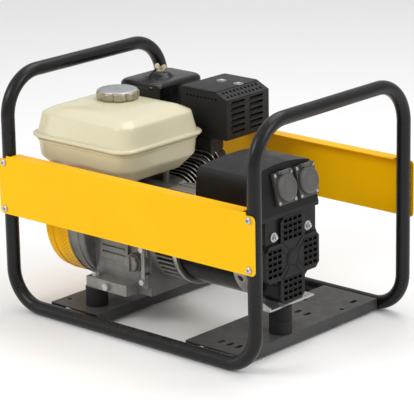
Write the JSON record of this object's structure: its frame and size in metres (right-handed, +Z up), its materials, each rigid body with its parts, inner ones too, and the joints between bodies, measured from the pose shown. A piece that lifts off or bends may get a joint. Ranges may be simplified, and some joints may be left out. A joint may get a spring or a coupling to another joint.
{
  "type": "portable generator",
  "caption": "Open-frame portable petrol generator: air-cooled engine driving an alternator with lidded sockets, on rubber mounts inside a black tube frame with yellow side panels.",
  "frame": {"origin": "on the floor, below the middle of the tube frame", "axes": "+X along the crankshaft from the recoil starter to the sockets, +Y from the front panel to the rear panel, +Z up"},
  "size_m": [0.6, 0.4418, 0.445],
  "materials": {
    "frame_black": "satin black powder coat",
    "plate_black": "matt black powder coat",
    "panel_yellow": "smooth yellow powder coat",
    "zinc": "bright zinc plating",
    "rubber": "matt black",
    "foot_steel": "machined, dull",
    "cast_alloy": "as-cast grey",
    "bright_alloy": "machined",
    "black_alloy": "black heat-proof paint on castings",
    "ceramic": "glazed ceramic and plated steel",
    "black_plastic": "fine moulded texture",
    "gloss_black": "gloss moulded",
    "filter_foam": "foam over paper",
    "yellow_zinc": "yellow passivated zinc",
    "steel": "machined",
    "muffler_black": "matt heat-proof black",
    "tank_cream": "gloss cream enamel",
    "cap_zinc": "dull plated",
    "switch_red": "moulded",
    "stator_black": "satin black",
    "copper": "varnished copper wire",
    "rotor_steel": "varnished laminations",
    "socket_grey": "moulded",
    "lid_grey": "moulded"
  },
  "bodies": {
    "root": {"frame_hoop_left": "frame_black", "frame_hoop_right": "frame_black", "frame_rails": "frame_black", "base_plate_left": "plate_black", "base_plate_right": "plate_black", "side_panel_front": "panel_yellow", "side_panel_rear": "panel_yellow", "panel_screws": "zinc", "engine_mounts": "rubber", "alternator_mount": "rubber", "mount_bolts": "zinc", "foot_bars": "foot_steel", "crankcase": "cast_alloy", "crankcase_cover": "cast_alloy", "cylinder_barrel": "black_alloy", "cylinder_head": "black_alloy", "rocker_cover": "black_alloy", "spark_plug": "ceramic", "ignition_lead": "rubber", "ignition_coil": "black_plastic", "carburettor": "bright_alloy", "fuel_hose": "rubber", "air_cleaner_base": "gloss_black", "air_filter_element": "filter_foam", "fan_cover": "panel_yellow", "recoil_cover": "panel_yellow", "muffler_body": "muffler_black", "muffler_shield": "muffler_black", "fuel_tank": "tank_cream", "engine_switch": "switch_red", "case_bolts": "zinc", "adapter_bell": "cast_alloy", "stay_bar": "foot_steel", "stator_core": "stator_black", "stator_windings": "copper", "rear_bearing": "steel", "end_bracket": "bright_alloy", "end_cover": "black_plastic", "support_bracket": "zinc", "socket_box": "black_plastic", "socket_frames": "socket_grey"},
    "crank": {"crankshaft": "steel", "flywheel": "bright_alloy", "starter_pulley": "steel", "rotor": "rotor_steel"},
    "camshaft": {"camshaft": "steel"},
    "piston": {"piston": "steel"},
    "rod": {"connecting_rod": "steel", "crank_pin": "steel"},
    "recoil_grip": {"recoil_grip": "black_plastic"},
    "recoil_reel": {"recoil_reel": "black_plastic"},
    "fuel_cap": {"fuel_cap": "cap_zinc"},
    "oil_filler_cap": {"oil_filler_cap": "cast_alloy"},
    "air_cover": {"air_cleaner_cover": "gloss_black"},
    "wing_nut": {"wing_nut": "yellow_zinc"},
    "choke_lever": {"choke_lever": "black_plastic"},
    "fuel_lever": {"fuel_lever": "black_plastic"},
    "switch_rocker": {"switch_rocker": "black_plastic"},
    "lid_left": {"socket_lid_left": "lid_grey"},
    "lid_right": {"socket_lid_right": "lid_grey"}
  },
  "joints": [
    {"name": "crank_turn", "type": "hinge", "parent": "root", "child": "crank", "pos_m": [0, -0.055, 0.165], "axis": [1, 0, 0], "continuous": true},
    {"name": "cam_turn", "type": "hinge", "parent": "root", "child": "camshaft", "pos_m": [-0.054, -0.028, 0.11824], "axis": [1, 0, 0], "continuous": true},
    {"name": "piston_slide", "type": "slide", "parent": "root", "child": "piston", "axis": [0, -0.9063, -0.4226], "range_m": [0, 0.045]},
    {"name": "rod_swing", "type": "hinge", "parent": "piston", "child": "rod", "pos_m": [-0.088, 0.04243, 0.21043], "axis": [1, 0, 0], "range_deg": [-15, 15]},
    {"name": "recoil_pull", "type": "slide", "parent": "root", "child": "recoil_grip", "axis": [-0.866, 0, 0.5], "range_m": [0, 0.6], "stiffness_N_per_m": 20, "springref_m": -0.3},
    {"name": "reel_turn", "type": "hinge", "parent": "root", "child": "recoil_reel", "pos_m": [-0.236, -0.055, 0.165], "axis": [1, 0, 0], "range_deg": [0, 1100]},
    {"name": "fuel_cap_turn", "type": "hinge", "parent": "root", "child": "fuel_cap", "pos_m": [-0.177, -0.0345, 0.385], "axis": [0, 0, 1], "range_deg": [0, 90]},
    {"name": "oil_cap_turn", "type": "hinge", "parent": "root", "child": "oil_filler_cap", "pos_m": [-0.046, -0.15, 0.118], "axis": [0, -1, 0], "range_deg": [0, 1080]},
    {"name": "air_cover_lift", "type": "slide", "parent": "root", "child": "air_cover", "axis": [0, 0, 1], "range_m": [0, 0.08]},
    {"name": "wing_nut_turn", "type": "hinge", "parent": "air_cover", "child": "wing_nut", "pos_m": [-0.207, 0.114, 0.399], "axis": [0, 0, 1], "range_deg": [0, 1080]},
    {"name": "choke_turn", "type": "hinge", "parent": "root", "child": "choke_lever", "pos_m": [-0.17, 0.098, 0.245], "axis": [0, 1, 0], "range_deg": [0, 60]},
    {"name": "fuel_turn", "type": "hinge", "parent": "root", "child": "fuel_lever", "pos_m": [-0.162, 0.098, 0.217], "axis": [0, 1, 0], "range_deg": [-90, 0]},
    {"name": "switch_tilt", "type": "hinge", "parent": "root", "child": "switch_rocker", "pos_m": [-0.2025, -0.1675, 0.206], "axis": [1, 0, 0], "range_deg": [0, 24]},
    {"name": "lid_left_open", "type": "hinge", "parent": "root", "child": "lid_left", "pos_m": [0.24122, -0.069, 0.31958], "axis": [0, -1, 0], "range_deg": [0, 105], "stiffness_Nm_per_rad": 0.02, "springref_deg": -34.38},
    {"name": "lid_right_open", "type": "hinge", "parent": "root", "child": "lid_right", "pos_m": [0.24122, -0.011, 0.31958], "axis": [0, -1, 0], "range_deg": [0, 105], "stiffness_Nm_per_rad": 0.02, "springref_deg": -34.38}
  ],
  "couplings": [
    {"joint": "cam_turn", "follows": "crank_turn", "ratio": -0.5},
    {"joint": "reel_turn", "follows": "recoil_pull", "rad_per_m": 31.25}
  ]
}
